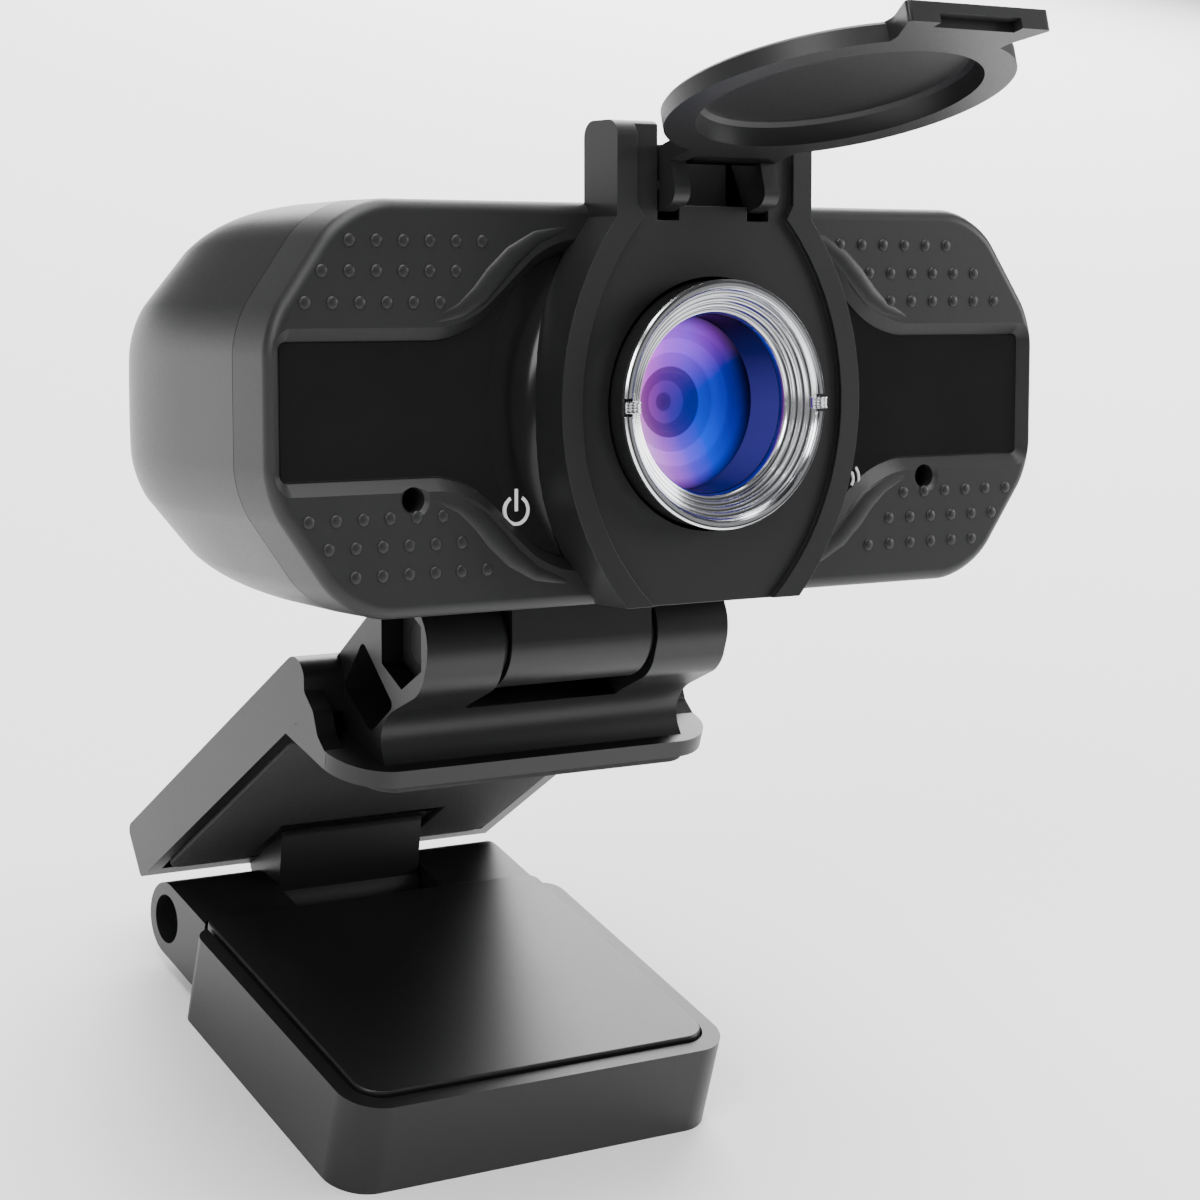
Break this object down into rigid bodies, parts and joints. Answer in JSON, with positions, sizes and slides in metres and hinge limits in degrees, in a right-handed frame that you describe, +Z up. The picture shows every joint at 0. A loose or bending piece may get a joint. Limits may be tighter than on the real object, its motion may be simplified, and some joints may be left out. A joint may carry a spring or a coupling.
{
  "type": "webcam on a folding clip",
  "caption": "Webcam bar with a flip-up privacy lid and a lens in a silver ring, tilting and swivelling on a folding clip whose foot stands on a desk.",
  "frame": {"origin": "centre of the foot's flat underside, which stands on the desk", "axes": "+X to the image's right along the camera bar, +Y towards the back, +Z up"},
  "size_m": [0.1, 0.095, 0.1452],
  "materials": {
    "satin_black": "satin moulded black plastic",
    "face_black": "fine matt black plastic",
    "gloss_black": "polished black plastic",
    "rubber_black": "matt black rubber",
    "silver_trim": "turned silver rings",
    "steel": "zinc-plated steel",
    "brass": "turned brass",
    "coated_glass": "violet anti-reflection coating",
    "board_green": "solder mask",
    "chip_grey": "moulded chip package",
    "clear_plastic": "clear light guide"
  },
  "bodies": {
    "foot": {"foot_shell": "satin_black", "foot_top_pad": "satin_black", "foot_base_cover": "rubber_black", "tripod_insert": "brass", "base_screw_left": "steel", "base_screw_right": "steel", "fold_pin": "steel"},
    "clip": {"clip_bracket": "satin_black", "leg_pad": "rubber_black", "lip_pad": "rubber_black", "tilt_bolt": "steel", "tilt_nut": "steel"},
    "knuckle": {"tilt_knuckle": "satin_black", "swivel_washer": "steel", "swivel_screw": "steel", "friction_washer_left": "steel", "friction_washer_right": "steel"},
    "head": {"front_bezel": "face_black", "front_panel": "gloss_black", "rear_shell": "satin_black", "shell_screw_left": "steel", "shell_screw_right": "steel", "cable_gland": "rubber_black", "cover_base": "satin_black", "lens_holder": "satin_black", "main_board": "board_green", "board_screw_low_left": "steel", "board_screw_low_right": "steel", "board_screw_high_right": "steel", "board_screw_high_left": "steel", "image_sensor": "chip_grey", "infrared_filter": "coated_glass", "cable_header": "chip_grey", "video_chip": "chip_grey", "status_led": "clear_plastic", "light_guide": "clear_plastic", "mic_boot_left": "rubber_black", "microphone_left": "steel", "mic_boot_right": "rubber_black", "microphone_right": "steel"},
    "lens": {"lens_barrel": "satin_black", "lens_trim_ring": "silver_trim", "focus_nub_left": "silver_trim", "focus_nub_right": "silver_trim", "front_lens": "coated_glass", "aperture_stop": "satin_black", "imaging_lens": "gloss_black"},
    "lid": {"privacy_lid": "satin_black"}
  },
  "joints": [
    {"name": "foot_fold", "type": "hinge", "parent": "foot", "child": "clip", "pos_m": [0, 0.0322, 0.0068], "axis": [1, 0, 0], "range_deg": [-90, 35]},
    {"name": "head_tilt", "type": "hinge", "parent": "clip", "child": "knuckle", "pos_m": [0, -0.005, 0.0612], "axis": [1, 0, 0], "range_deg": [-22, 50]},
    {"name": "head_swivel", "type": "hinge", "parent": "knuckle", "child": "head", "pos_m": [0, -0.00308, 0.06699], "axis": [0, 0.3156, 0.9489], "range_deg": [-90, 90]},
    {"name": "focus_turn", "type": "hinge", "parent": "head", "child": "lens", "pos_m": [0, -0.01912, 0.09446], "axis": [0, 0.9489, -0.3156], "range_deg": [-90, 90]},
    {"name": "cover_flip", "type": "hinge", "parent": "head", "child": "lid", "pos_m": [0, -0.01691, 0.11759], "axis": [1, 0, 0], "range_deg": [-25, 105.5]}
  ]
}
